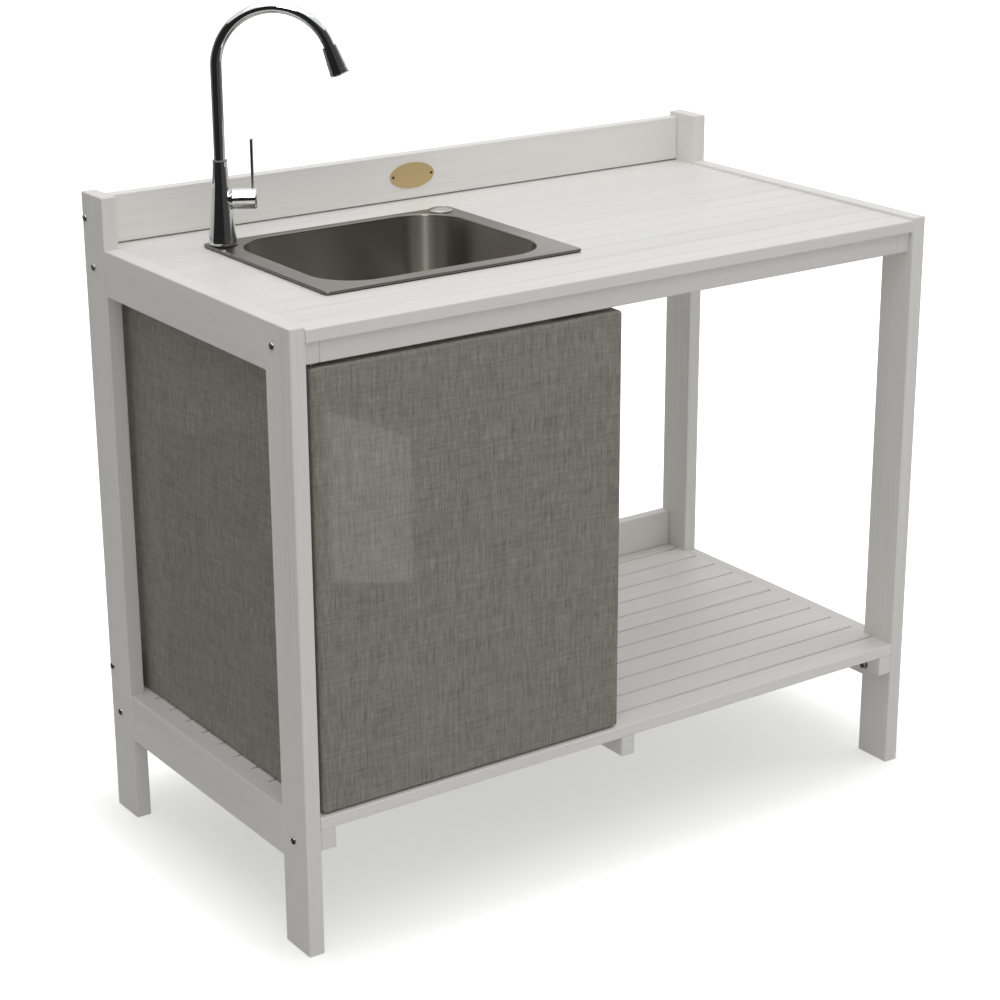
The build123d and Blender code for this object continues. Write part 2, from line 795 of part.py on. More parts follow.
spout_line = [
    Line((0, 0, spout_foot), bend_point(0)),
    ThreePointArc(bend_point(0), bend_point(bend_end / 2), bend_point(bend_end)),
    Line(bend_point(bend_end), along_tip(spout_tip)),
]
spout_path = Wire(spout_line)
spout_section = Plane(origin=(0, 0, spout_foot), z_dir=(0, 0, 1))
spout_tube = sweep(spout_section * Circle(spout_radius), path=spout_path) - sweep(
    spout_section * Circle(spout_radius - spout_wall), path=spout_path
)
spout_tail = turned(
    outline(
        (spout_radius - 2 * spout_wall, spout_foot + spout_wall),
        (spout_radius - 2 * spout_wall, tap_body_height - spout_tail_length),
        (spout_tail_radius, tap_body_height - spout_tail_length),
        (spout_tail_radius, spout_foot),
        (spout_radius - spout_wall / 2, spout_foot),
        (spout_radius - spout_wall / 2, spout_foot + spout_wall),
    )
)
tap_spout = spout_place * (spout_tube + spout_tail)
spout_bush = ring(spout_bore, tap_neck_radius, tap_zero + tap_body_height, tap_zero + spout_foot, tap_at)

nozzle_bore = spout_radius + fit_clearance
aerator_seat = nozzle_length - aerator_depth


def nozzle_radius(distance):
    """The outside radius of the nozzle's cone, distance along it."""
    share = distance / (nozzle_length - nozzle_edge)
    return nozzle_top_radius + share * (nozzle_end_radius - nozzle_top_radius)


groove_end = nozzle_length - nozzle_ring_height
groove_start = groove_end - nozzle_groove_width
nozzle = turned(
    outline(
        (nozzle_bore, 0),
        (nozzle_top_radius, 0),
        (nozzle_radius(groove_start), groove_start),
        (nozzle_radius(groove_start) - nozzle_groove_depth, groove_start),
        (nozzle_radius(groove_end) - nozzle_groove_depth, groove_end),
        (nozzle_radius(groove_end), groove_end),
        (nozzle_end_radius, nozzle_length - nozzle_edge),
        (nozzle_end_radius - nozzle_edge / 2, nozzle_length),
        (aerator_radius, nozzle_length),
        (aerator_radius, aerator_seat),
        (spout_radius - spout_wall, aerator_seat),
        (spout_radius - spout_wall, spout_tip),
        (nozzle_bore, spout_tip),
    ),
    along_tip(0),
    tip_direction,
)
tap_nozzle = spout_place * nozzle
aerator_size = (aerator_radius - fit_clearance, aerator_depth - nozzle_edge / 2)
aerator = rod(along_tip(aerator_seat), tip_direction, *aerator_size)
for row in (-1, 0, 1):
    for column in (-1, 0, 1):
        hole_place = Plane(origin=along_tip(aerator_seat), z_dir=tip_direction)
        hole = Pos(row * aerator_radius * 0.4, column * aerator_radius * 0.4, 0) * Cylinder(
            aerator_radius * 0.13, aerator_depth, align=(Align.CENTER, Align.CENTER, Align.MIN)
        )
        aerator = aerator - hole_place * hole
tap_aerator = spout_place * aerator

# Lever: a hollow cap with its stem in the valve, and a slim pin that stands up from it

valve_end = hub_seam + valve_proud
stem_bore = stem_radius + running_clearance
cap_start = hub_seam + seam_gap
cap_end = hub_seam + lever_cap_length
valve = turned(
    outline(
        (stem_bore, valve_start),
        (valve_radius, valve_start),
        (valve_radius, valve_end),
        (stem_bore, valve_end),
    ),
    on_hub(0),
    hub_axis,
)
lever_cap = turned(
    outline(
        (0, valve_start + stem_reach / 2),
        (stem_radius, valve_start + stem_reach / 2),
        (stem_radius, cap_start + lever_cap_cavity),
        (valve_radius + 1, cap_start + lever_cap_cavity),
        (valve_radius + 1, cap_start),
        (hub_radius, cap_start),
        (hub_radius, cap_end),
        (0, cap_end),
    ),
    on_hub(0),
    hub_axis,
)
lever_cap = fillet(lever_cap.edges().sort_by_distance(on_hub(2 * cap_end))[0], lever_cap_round)
pin_foot = on_hub(cap_end - lever_pin_inset)
pin_base = (pin_foot[0], pin_foot[1], pin_foot[2] + hub_radius - lever_pin_seat)
lever_pin = rod(pin_base, (0, 0, 1), lever_pin_radius, lever_pin_seat + lever_pin_length)
lever_pin = fillet(lever_pin.faces().sort_by(Axis.Z)[-1].edges(), lever_pin_radius * 0.8)
lever_cap = lever_cap - rod(pin_base, (0, 0, 1), lever_pin_radius, lever_pin_seat + lever_pin_length)

# Oval plate and its two pins on the backsplash

plate_middle = (0, splash_front, splash_top - plate_drop)
plate_plane = Plane(origin=plate_middle, x_dir=(1, 0, 0), z_dir=(0, -1, 0))
plate = plate_plane * extrude(Ellipse(plate_length / 2, plate_height / 2), plate_thick)
plate_pins = []
for sign in (-1, 1):
    x = sign * (plate_length / 2 - plate_pin_inset)
    start = (x, splash_front - plate_thick, plate_middle[2])
    head = rod(start, (0, -1, 0), plate_pin_radius, plate_pin_head)
    head = fillet(head.edges().sort_by(Axis.Y)[0], plate_pin_head * 0.8)
    length = plate_thick + plate_pin_reach
    plate_pins.append(head + rod(start, (0, 1, 0), plate_pin_radius / 2, length))
    add_bore(rod(start, (0, 1, 0), plate_pin_radius / 2 + fit_clearance, length + fit_clearance))

# Every timber piece is drilled where a fastener passes, then all pieces are named

for name, piece in {**frame, **battens}.items():
    parts[name] = drilled(piece)
for name, pieces in worktop_slats.items():
    parts[f"worktop_slats_{name}"] = group(drilled(piece) for piece in pieces)
parts["shelf_slats"] = group(drilled(piece) for piece in shelf_slats)
parts["frame_bolts"] = group(bolts)
parts["frame_nuts"] = group(nuts)
parts["barrel_nuts"] = group(barrels)
parts["frame_dowels"] = group(dowels)
parts["slat_screws"] = group(screws)
parts["door_core"] = door_core - door_bores
parts["door_fabric"] = door_fabric - door_bores
parts["door_pivot_pins"] = group(pins)
parts["door_pivot_bushes"] = group(bushes)
parts["door_strike_plate"] = block(catch_x, (door_back, strike_back), strike_z)
parts["door_catch"] = catch_body + catch_nose
parts["side_panel_core"] = drilled(side_core)
parts["side_panel_fabric"] = drilled(side_fabric)
parts["oval_plate"] = drilled(plate)
parts["oval_plate_pins"] = group(plate_pins)
parts["sink"] = sink
parts["sink_gasket"] = gasket
parts["sink_clips"] = group(clips)
parts["drain_strainer"] = strainer
parts["drain_seal"] = drain_seal
parts["drain_nut"] = drain_nut
parts["drain_tail"] = drain_tail
parts["tap_hole_cap"] = hole_cap
parts["tap_body"] = tap_body
parts["tap_base_seal"] = tap_seal
parts["tap_shank"] = tap_shank
parts["fixing_washers"] = group([fixing_washer(tap_at), fixing_washer(cap_at)])
parts["fixing_nuts"] = group([fixing_nut(tap_at), fixing_nut(cap_at)])
parts["tap_valve"] = valve
parts["tap_spout"] = tap_spout
parts["spout_bush"] = spout_bush
parts["tap_nozzle"] = tap_nozzle
parts["tap_aerator"] = tap_aerator
parts["lever_cap"] = lever_cap
parts["lever_pin"] = lever_pin

os.makedirs("parts", exist_ok=True)
for name, shape in parts.items():
    export_step(shape, f"parts/{name}.step")
print(len(parts), "pieces written")
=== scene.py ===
import json
import math

import bmesh
import bpy
from bpy.props import FloatProperty, FloatVectorProperty, PointerProperty
from mathutils import Matrix, Vector


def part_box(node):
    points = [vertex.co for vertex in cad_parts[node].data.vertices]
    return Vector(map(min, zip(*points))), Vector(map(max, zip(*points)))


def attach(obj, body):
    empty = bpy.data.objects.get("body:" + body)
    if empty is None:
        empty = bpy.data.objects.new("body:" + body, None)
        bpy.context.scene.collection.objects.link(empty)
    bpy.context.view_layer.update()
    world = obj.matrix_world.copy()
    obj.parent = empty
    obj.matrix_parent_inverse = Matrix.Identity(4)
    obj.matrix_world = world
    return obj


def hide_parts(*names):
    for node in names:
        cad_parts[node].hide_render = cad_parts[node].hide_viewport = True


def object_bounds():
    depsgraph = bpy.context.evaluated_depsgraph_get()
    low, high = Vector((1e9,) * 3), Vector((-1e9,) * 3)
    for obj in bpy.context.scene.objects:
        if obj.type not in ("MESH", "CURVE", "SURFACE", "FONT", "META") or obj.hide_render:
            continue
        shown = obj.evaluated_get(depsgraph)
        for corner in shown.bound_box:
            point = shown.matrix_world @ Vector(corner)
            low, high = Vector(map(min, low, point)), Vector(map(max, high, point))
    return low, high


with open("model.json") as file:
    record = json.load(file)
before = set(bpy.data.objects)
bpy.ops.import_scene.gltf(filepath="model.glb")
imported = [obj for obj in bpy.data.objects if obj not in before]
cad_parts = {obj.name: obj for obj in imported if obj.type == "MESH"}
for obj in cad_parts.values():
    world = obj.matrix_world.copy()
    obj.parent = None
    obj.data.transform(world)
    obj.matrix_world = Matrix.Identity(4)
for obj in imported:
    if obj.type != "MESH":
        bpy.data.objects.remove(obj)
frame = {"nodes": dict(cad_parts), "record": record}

bl_info = {
    "name": "Outdoor Kitchen Finishes",
    "version": (1, 0, 0),
    "blender": (4, 5, 0),
    "location": "View3D > Sidebar > Kitchen",
    "description": "Dresses a timber outdoor kitchen with paint, cloth covers, steel, chrome and brass",
    "category": "Object",
}

CAD_BOX = [list(corner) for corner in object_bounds()]
MM = 0.001
UP = Vector((0, 0, 1))
ALONG_X, ALONG_Y, ALONG_Z = range(3)

# A staple: its crown lies on the cloth and its two legs go into the board
CROWN_HIGH = 0.7 * MM
CROWN_BROAD = 0.9 * MM
LEG_BROAD = 0.8 * MM
LEG_LONG = 2.0 * MM
WIRE_ROUND = 0.2 * MM

# The cloth covers and the sink
EDGE_STEPS = 6
SMOOTH_BELOW = math.radians(40)
RIM_DEEP = 3 * MM

# The studio round the table, in metres
FLOOR_ACROSS = 60.0
FLOOR_IN_GLOSS = 0.05
# Where the floor's painted shadow begins to fade and where it is gone, in metres outward from the table's
# footprint
SHADOW_FROM, SHADOW_TO = -0.02, 0.2
CURTAIN_RADIUS, CURTAIN_HIGH = 2.3, 2.6
CURTAIN_MIDDLE = (-0.2, 0.0, CURTAIN_HIGH / 2)
CURTAIN_OPEN = math.radians(55)
FLAG_MIDDLE = (-2.0, 0.1, 1.0)
FLAG_DEEP, FLAG_HIGH = 3.4, 2.0
DOOR_CARD = ((0.044, -1.2, 0.128), (0.214, -1.2, 0.09), (0.037, -1.2, 0.453), (0.215, -1.2, 0.369))
BOWL_CARD_AWAY = 1.9
BOWL_CARD_HEIGHTS = (1.9, 2.6)
BOWL_CARD_SIDES = (-0.18, 0.18)

# The camera's frame, in millimetres
FRAME_WIDE = 36.0


def srgb(code):
    """An sRGB hex colour as linear red, green and blue."""
    channels = [int(code[i:i + 2], 16) / 255 for i in (1, 3, 5)]
    return tuple(c / 12.92 if c <= 0.04045 else ((c + 0.055) / 1.055) ** 2.4 for c in channels)


def colour(name, description, code):
    """A colour property with a hex default."""
    return FloatVectorProperty(
        name=name, description=description, subtype="COLOR", size=3, min=0.0, max=1.0, default=srgb(code)
    )


def length(name, description, millimetres):
    """A length property with a default in millimetres."""
    return FloatProperty(
        name=name, description=description, unit="LENGTH", subtype="DISTANCE", min=0.0,
        default=millimetres * MM,
    )


def angle(name, description, degrees):
    """An angle property with a default in degrees."""
    return FloatProperty(name=name, description=description, subtype="ANGLE", default=math.radians(degrees))


def power(name, description, watts):
    """A lamp's power property."""
    return FloatProperty(name=name, description=description, unit="POWER", default=watts)


def strength(name, description, level):
    """A property for how bright something shines of its own."""
    return FloatProperty(name=name, description=description, default=level)


class KitchenColours(bpy.types.PropertyGroup):
    """Colours of the finishes."""

    paint: colour("Paint", "Satin white paint on all timber", "#ECEBE7")
    paint_grain: colour("Paint in the grain", "The same paint where it lies thin in the grain", "#E3E2DE")
    yarn_dark: colour("Dark yarn", "Darkest yarn of the cloth on door and side panel", "#76736C")
    yarn_light: colour("Light yarn", "Lightest yarn of the cloth on door and side panel", "#A09D94")
    steel: colour("Stainless steel", "Satin steel of bowl and strainer", "#A8A59E")
    # The rim's darker colour is painted shade on the same brushed steel as the bowl
    rim: colour("Sink rim", "Matt brushed steel of the sink's rim", "#7F7C76")
    chrome: colour("Chrome", "Polished chrome of the tap", "#DADBDC")
    satin: colour("Satin chrome", "Cap on the unused tap hole", "#B0AEA8")
    brass: colour("Brass", "Oval plate", "#DFC696")
    # The pins' dark brown is painted shade
    pin_shade: colour("Aged brass", "Pins of the oval plate", "#6A5A38")
    zinc: colour("Zinc", "Plated bolts, nuts and screws", "#C6C6C4")
    rubber: colour("Rubber", "Seals and gasket", "#141414")
    moulding: colour("Moulded plastic", "Drain, bushes and door catch", "#8C8B88")
    core: colour("Core board", "Plywood under the cloth", "#B0946C")
    beech: colour("Beech", "Dowels", "#C49A6B")
    floor: colour("Floor", "Studio floor", "#F0F0EF")
    felt: colour("Felt", "Dark flag beside the table", "#868684")


class KitchenSizes(bpy.types.PropertyGroup):
    """Sizes of the cloth covers and of the patterns."""

    cloth_thick: length("Cloth thickness", "Thickness of the coated cloth", 1.5)
    cloth_round: length("Edge radius", "Radius of the padded edges under the cloth", 5.5)
    cloth_return: length("Return", "Width of the cloth turned in at the back", 30.0)
    yarn_pitch: length("Yarn pitch", "Distance from yarn to yarn", 1.1)
    slub_width: length("Slub width", "Width of the thicker runs in a yarn", 2.4)
    slub_length: length("Slub length", "Length of the thicker runs in a yarn", 28.0)
    grain_width: length("Grain width", "Width of the wood's grain lines under the paint", 4.5)
    grain_length: length("Grain length", "Length of the wood's grain lines under the paint", 320.0)
    patch_width: length("Patch width", "Width of the areas where the grain shows more", 80.0)
    patch_length: length("Patch length", "Length of the areas where the grain shows more", 800.0)
    brush_width: length("Brush line width", "Width of the brush lines on the steel", 1.4)
    staple_width: length("Staple width", "Crown of the staples that hold the cloth", 10.0)
    staple_pitch: length("Staple pitch", "Distance from staple to staple", 58.0)


class KitchenStage(bpy.types.PropertyGroup):
    """Camera, lamps and cards of the studio."""

    lens: FloatProperty(
        name="Lens", description="Focal length on a 36 mm frame",
        unit="CAMERA", subtype="DISTANCE_CAMERA", default=87.605,
    )
    camera_at: FloatVectorProperty(
        name="Camera", description="Where the camera stands", subtype="XYZ", unit="LENGTH", size=3,
        default=(-2.0157, -2.8672, 1.7045),
    )
    heading: angle("Heading", "Turn of the camera from straight ahead", -34.7666)
    dip: angle("Dip", "How far the camera looks down", 19.3661)
    roll: angle("Roll", "Lean of the camera", -0.2619)
    overhead: power("Overhead lamp", "Power of the soft overhead lamp", 34.5)
    front_left: power("Front left lamp", "Power of the high lamp at the front left", 10.8)
    left: power("Left lamp", "Power of the soft lamp on the left", 10.4)
    right: power("Right lamp", "Power of the soft lamp on the right", 14.5)
    surround: strength("Surround", "Strength of the even light from all round", 0.485)
    door_card: strength("Door card", "Strength of the card that the door mirrors", 3.0)
    bowl_card: strength("Bowl card", "Strength of the card that the sink's bowl mirrors", 18.0)
    # The floor's own light inside the table's footprint, lower than outside it: painted shadow
    floor_glow: strength("Floor glow", "Light that the floor adds of its own under the table", 0.385)


# Materials


def add(tree, kind, inputs=None, **settings):
    """Add a node, give it its settings, and fill or link its inputs."""
    node = tree.nodes.new(kind)
    for name, value in settings.items():
        setattr(node, name, value)
    for key, value in (inputs or {}).items():
        if isinstance(value, bpy.types.NodeSocket):
            tree.links.new(value, node.inputs[key])
        else:
            node.inputs[key].default_value = value
    return node


def new_material(name):
    """An empty node material and its tree."""
    material = bpy.data.materials.new(name)
    material.use_nodes = True
    material.node_tree.nodes.clear()
    return material, material.node_tree


def shade(tree, inputs):
    """End a material in one principled shader."""
    shader = add(tree, "ShaderNodeBsdfPrincipled", inputs)
    add(tree, "ShaderNodeOutputMaterial", {"Surface": shader.outputs["BSDF"]})


def opaque(rgb):
    """A colour property as red, green, blue and alpha."""
    return (*rgb, 1.0)


def painted_pine(axis, painted_light_level):
    """Pine with a satin alkyd paint, brushed on along the board. The film is even and white, and the grain of
    the planed wood shows through it as long faint ridges, a little duller and greyer in the hollows. The
    painted
    light level scales the paint: below 1 it draws painted shade, above 1 painted light."""
    colours, sizes = bpy.context.scene.kitchen_colours, bpy.context.scene.kitchen_sizes
    material, tree = new_material(f"painted_pine_along_{'xyz'[axis]}_{round(100 * painted_light_level)}")
    place = add(tree, "ShaderNodeTexCoord").outputs["Object"]
    along = [1 / sizes.grain_width] * 3
    along[axis] = 1 / sizes.grain_length
    grain = add(tree, "ShaderNodeTexNoise", {
        "Vector": add(tree, "ShaderNodeMapping", {"Vector": place, "Scale": along}).outputs["Vector"],
        "Scale": 1.0, "Detail": 4.0, "Roughness": 0.6, "Distortion": 0.3,
    }).outputs["Fac"]
    board = [1 / sizes.patch_width] * 3
    board[axis] = 1 / sizes.patch_length
    patches = add(tree, "ShaderNodeTexNoise", {
        "Vector": add(tree, "ShaderNodeMapping", {"Vector": place, "Scale": board}).outputs["Vector"],
        "Scale": 1.0, "Detail": 2.0,
    }).outputs["Fac"]
    depth = add(tree, "ShaderNodeMath", {0: grain, 1: patches}, operation="MULTIPLY").outputs["Value"]
    thin = add(tree, "ShaderNodeMapRange", {
        "Value": depth, "From Min": 0.2, "From Max": 0.45
    }).outputs["Result"]
    # Both paint colours are scaled by the painted light level: darker is painted shade, lighter is painted
    # light
    film = add(tree, "ShaderNodeMix", {
        "Factor": thin,
        6: opaque(painted_light_level * channel for channel in colours.paint),
        7: opaque(painted_light_level * channel for channel in colours.paint_grain),
    }, data_type="RGBA").outputs[2]
    sheen = add(tree, "ShaderNodeMapRange", {
        "Value": grain, "To Min": 0.36, "To Max": 0.52
    }).outputs["Result"]
    ridges = add(tree, "ShaderNodeBump", {
        "Strength": 0.06, "Distance": 0.35 * MM, "Height": grain
    }).outputs["Normal"]
    shade(tree, {"Base Color": film, "Roughness": sheen, "Normal": ridges})
    return material


def linen_cloth():
    """Polyester yarn in a plain linen weave with a clear vinyl coating. Slubs make some yarns thicker and
    lighter for a hand's width, both ways, and the coating gives a soft gloss. Yarns are about 0.5 mm and are
    drawn twice as coarse, so that they show."""
    colours, sizes = bpy.context.scene.kitchen_colours, bpy.context.scene.kitchen_sizes
    material, tree = new_material("coated_linen_weave")
    flat = add(tree, "ShaderNodeUVMap", uv_map="weave").outputs["UV"]
    tones = []
    # Fine slubs and broad ones: how many times the slub's width and length, and how much warp and weft show
    for width, run, warp, weft in ((1.0, 1.0, 0.42, 0.2), (2.2, 3.5, 0.22, 0.16)):
        across, down = 1 / (width * sizes.slub_width), 1 / (run * sizes.slub_length)
        for scale, weight in (((across, down, 1.0), warp), ((down, across, 1.0), weft)):
            yarns = add(tree, "ShaderNodeMapping", {
                "Vector": flat, "Scale": scale, "Location": (weight, 3 * weight, 0.0)
            }).outputs["Vector"]
            noise = add(tree, "ShaderNodeTexNoise", {
                "Vector": yarns, "Scale": 1.0, "Detail": 2.0, "Roughness": 0.7
            }, noise_dimensions="2D").outputs["Fac"]
            tones.append(add(tree, "ShaderNodeMath", {
                0: noise, 1: weight
            }, operation="MULTIPLY").outputs["Value"])
    tone = tones[0]
    for other in tones[1:]:
        tone = add(tree, "ShaderNodeMath", {0: tone, 1: other}, operation="ADD").outputs["Value"]
    split = add(tree, "ShaderNodeSeparateXYZ", {"Vector": flat})
    waves = []
    for socket in ("X", "Y"):
        turn = add(tree, "ShaderNodeMath", {
            0: split.outputs[socket], 1: math.pi / sizes.yarn_pitch
        }, operation="MULTIPLY").outputs["Value"]
        waves.append(add(tree, "ShaderNodeMath", {0: turn}, operation="SINE").outputs["Value"])
    weave = add(tree, "ShaderNodeMath", {
        0: waves[0], 1: waves[1]
    }, operation="MULTIPLY").outputs["Value"]
    mixed = add(tree, "ShaderNodeMath", {
        0: weave, 1: 0.035, 2: tone
    }, operation="MULTIPLY_ADD").outputs["Value"]
    spread = add(tree, "ShaderNodeMapRange", {
        "Value": mixed, "From Min": 0.35, "From Max": 0.65
    }).outputs["Result"]
    yarn = add(tree, "ShaderNodeMix", {
        "Factor": spread, 6: opaque(colours.yarn_dark), 7: opaque(colours.yarn_light)
    }, data_type="RGBA").outputs[2]
    height = add(tree, "ShaderNodeMath", {
        0: weave, 1: 0.5, 2: tone
    }, operation="MULTIPLY_ADD").outputs["Value"]
    bumps = add(tree, "ShaderNodeBump", {
        "Strength": 0.3, "Distance": 0.25 * MM, "Height": height
    }).outputs["Normal"]
    shade(tree, {
        "Base Color": yarn, "Roughness": 0.6, "Specular IOR Level": 0.22, "Normal": bumps,
        "Coat Weight": 0.3, "Coat Roughness": 0.04,
    })
    return material


def brushed_metal(name, rgb, axis, rough, spread, depth=0.0, rim=None, stretch=0.0):
    """Metal brushed in one direction: fine lines along the axis scatter the gloss across it. The lines are
    under 0.2 mm on the real sheet and are drawn coarser, so that they show. A rim is a colour and a height;
    faces above the height get that colour, a painted shade. Stretch draws the gloss out into streaks."""
    sizes = bpy.context.scene.kitchen_sizes
    material, tree = new_material(name)
    place = add(tree, "ShaderNodeTexCoord").outputs["Object"]
    along = [1 / sizes.brush_width] * 3
    along[axis] = 1 / (60 * sizes.brush_width)
    lines = add(tree, "ShaderNodeTexNoise", {
        "Vector": add(tree, "ShaderNodeMapping", {"Vector": place, "Scale": along}).outputs["Vector"],
        "Scale": 1.0, "Detail": 5.0, "Roughness": 0.7,
    }).outputs["Fac"]
    gloss = add(tree, "ShaderNodeMapRange", {
        "Value": lines, "From Min": 0.3, "From Max": 0.7, "To Min": rough - spread, "To Max": rough + spread
    }).outputs["Result"]
    scratch = add(tree, "ShaderNodeBump", {
        "Strength": depth, "Distance": 0.05 * MM, "Height": lines
    }).outputs["Normal"]
    body = opaque(rgb)
    # Faces above the rim height take the darker rim colour: painted shade
    if rim:
        rim_shade_rgb, rim_height = rim
        height = add(tree, "ShaderNodeSeparateXYZ", {"Vector": place}).outputs["Z"]
        above = add(tree, "ShaderNodeMath", {
            0: height, 1: rim_height
        }, operation="GREATER_THAN").outputs["Value"]
        body = add(tree, "ShaderNodeMix", {
            "Factor": above, 6: body, 7: opaque(rim_shade_rgb)
        }, data_type="RGBA").outputs[2]
    round_about = add(tree, "ShaderNodeTangent", direction_type="RADIAL", axis="Z").outputs["Tangent"]
    shade(tree, {
        "Base Color": body, "Metallic": 1.0, "Roughness": gloss, "Normal": scratch,
        "Anisotropic": stretch, "Anisotropic Rotation": 0.25, "Tangent": round_about,
    })
    return material


def clouded(name, rgb, rough, spread, size, metallic=0.0, tint=0.1):
    """A cast, moulded or plated surface with soft clouds of colour and gloss, size across."""
    material, tree = new_material(name)
    place = add(tree, "ShaderNodeTexCoord").outputs["Object"]
    cloud = add(tree, "ShaderNodeTexNoise", {
        "Vector": place, "Scale": 1 / size, "Detail": 3.0
    }).outputs["Fac"]
    gloss = add(tree, "ShaderNodeMapRange", {
        "Value": cloud, "From Min": 0.3, "From Max": 0.7, "To Min": rough - spread, "To Max": rough + spread
    }).outputs["Result"]
    darker = tuple(channel * (1 - tint) for channel in rgb)
    body = add(tree, "ShaderNodeMix", {
        "Factor": cloud, 6: opaque(rgb), 7: opaque(darker)
    }, data_type="RGBA").outputs[2]
    shade(tree, {"Base Color": body, "Metallic": metallic, "Roughness": gloss})
    return material


def layered_board():
    """Birch plywood: thin plies with the grain crossing, seen only where the cloth leaves the back open."""
    colours, sizes = bpy.context.scene.kitchen_colours, bpy.context.scene.kitchen_sizes
    material, tree = new_material("birch_plywood")
    place = add(tree, "ShaderNodeTexCoord").outputs["Object"]
    scale = (1 / sizes.grain_width, 1 / sizes.grain_width, 1 / sizes.grain_length)
    figure = add(tree, "ShaderNodeTexNoise", {
        "Vector": add(tree, "ShaderNodeMapping", {"Vector": place, "Scale": scale}).outputs["Vector"],
        "Scale": 0.6, "Detail": 5.0, "Roughness": 0.65, "Distortion": 0.8,
    }).outputs["Fac"]
    darker = tuple(channel * 0.72 for channel in colours.core)
    wood = add(tree, "ShaderNodeMix", {
        "Factor": figure, 6: opaque(colours.core), 7: opaque(darker)
    }, data_type="RGBA").outputs[2]
    pores = add(tree, "ShaderNodeBump", {
        "Strength": 0.3, "Distance": 0.2 * MM, "Height": figure
    }).outputs["Normal"]
    shade(tree, {"Base Color": wood, "Roughness": 0.62, "Normal": pores})
    return material


def glowing(name, level):
    """An evenly lit face, for what is only seen mirrored."""
    material, tree = new_material(name)
    shine = add(tree, "ShaderNodeEmission", {"Strength": level}).outputs["Emission"]
    add(tree, "ShaderNodeOutputMaterial", {"Surface": shine})
    return material


# CAD nodes that have their finish
finished = set()


def paint_node(name, material):
    """Give a CAD node one material."""
    materials = frame["nodes"][name].data.materials
    materials.clear()
    materials.append(material)
    finished.add(name)


# New pieces


def pick(piece, kind, test):
    """In edit mode, select the edges or faces that pass a test."""
    bpy.ops.mesh.select_mode(type=kind)
    bpy.ops.mesh.select_all(action="DESELECT")
    mesh = bmesh.from_edit_mesh(piece.data)
    for element in mesh.edges if kind == "EDGE" else mesh.faces:
        element.select_set(test(element))
    mesh.select_flush_mode()
    bmesh.update_edit_mesh(piece.data)


def start_block(name, low, high):
    """A block between two corners, ready in edit mode."""
    bpy.ops.object.select_all(action="DESELECT")
    bpy.ops.mesh.primitive_cube_add(size=1.0, location=(low + high) / 2, scale=high - low)
    bpy.ops.object.transform_apply(location=True, rotation=True, scale=True)
    piece = bpy.context.object
    piece.name = piece.data.name = name
    bpy.ops.object.mode_set(mode="EDIT")
    return piece


def wrap_board(name, node, show):
    """Cloth drawn tight over a board, rounded at the shown edges and turned in at the back."""
    sizes = bpy.context.scene.kitchen_sizes
    low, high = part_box(node)
    piece = start_block(name, low, high)
    back = max(corner.dot(-show) for corner in (low, high))
    reach = sizes.cloth_thick / 10

    def on_back(vertex):
        return vertex.co.dot(-show) > back - reach

    pick(piece, "FACE", lambda face: all(on_back(vertex) for vertex in face.verts))
    bpy.ops.mesh.inset(thickness=sizes.cloth_return)
    bpy.ops.mesh.delete(type="ONLY_FACE")
    pick(piece, "EDGE", lambda edge: not all(on_back(vertex) for vertex in edge.verts))
    bpy.ops.mesh.bevel(offset=sizes.cloth_round, segments=EDGE_STEPS, affect="EDGES")
    bpy.ops.object.mode_set(mode="OBJECT")
    wall = piece.modifiers.new("cloth", "SOLIDIFY")
    wall.thickness = sizes.cloth_thick
    wall.offset = -1.0
    bpy.ops.object.modifier_apply(modifier=wall.name)
    bpy.ops.object.mode_set(mode="EDIT")
    bpy.ops.mesh.select_all(action="SELECT")
    bpy.ops.uv.cube_project(cube_size=1.0, correct_aspect=False)
    bpy.ops.object.mode_set(mode="OBJECT")
    piece.data.uv_layers.active.name = "weave"
    bpy.ops.object.shade_smooth_by_angle(angle=SMOOTH_BELOW)
    even = piece.modifiers.new("even", "WEIGHTED_NORMAL")
    even.keep_sharp = True
    bpy.ops.object.modifier_apply(modifier=even.name)
    return piece


